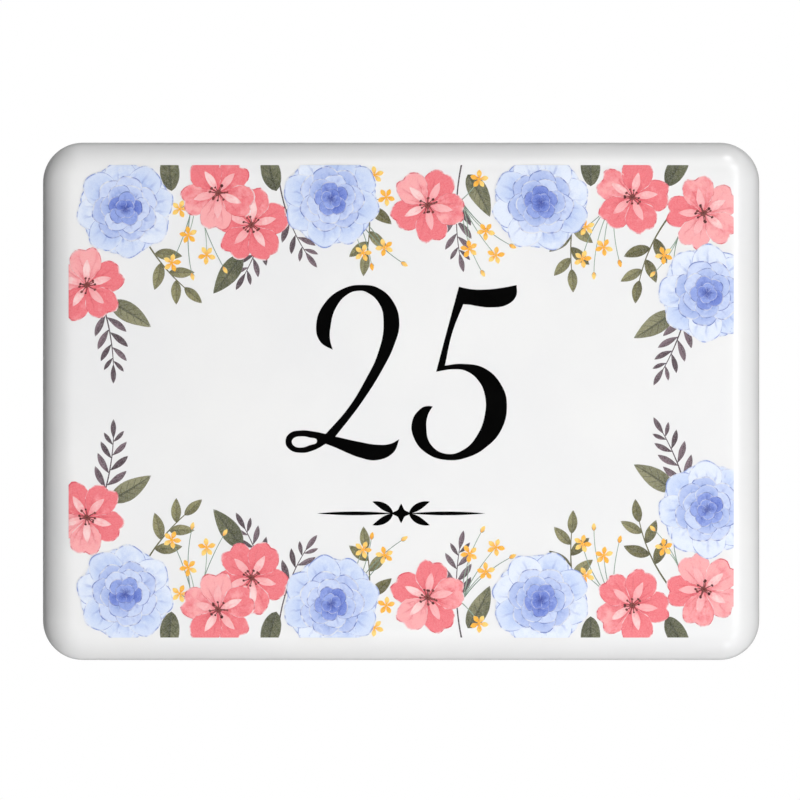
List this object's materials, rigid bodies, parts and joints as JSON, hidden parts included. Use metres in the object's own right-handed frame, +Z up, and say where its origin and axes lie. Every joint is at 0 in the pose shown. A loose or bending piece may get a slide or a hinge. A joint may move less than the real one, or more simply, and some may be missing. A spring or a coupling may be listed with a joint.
{
  "type": "house number plaque",
  "caption": "Rounded rectangular glazed ceramic wall plaque with a hollow back, black house number and a printed floral border",
  "frame": {"origin": "centre of the flat back rim, on the wall plane", "axes": "X to the right along the long side, Z up, the printed face looks along -Y and the wall is the plane Y = 0"},
  "size_m": [0.18, 0.0093, 0.13],
  "materials": {
    "plaque_body": "white gloss glaze",
    "print_pale_blue": "fired pale blue colour",
    "print_blue": "fired mid blue colour",
    "print_deep_blue": "fired deep blue colour",
    "print_coral": "fired coral colour",
    "print_blush": "fired blush colour",
    "print_stamens": "fired brown colour",
    "print_yellow": "fired yellow colour",
    "print_olive": "fired olive green colour",
    "print_plum": "fired plum brown colour",
    "print_numerals": "fired black colour",
    "print_ornament": "fired black colour"
  },
  "bodies": {
    "root": {"plaque_body": "plaque_body", "print_pale_blue": "print_pale_blue", "print_blue": "print_blue", "print_deep_blue": "print_deep_blue", "print_coral": "print_coral", "print_blush": "print_blush", "print_stamens": "print_stamens", "print_yellow": "print_yellow", "print_olive": "print_olive", "print_plum": "print_plum", "print_numerals": "print_numerals", "print_ornament": "print_ornament"}
  },
  "joints": []
}
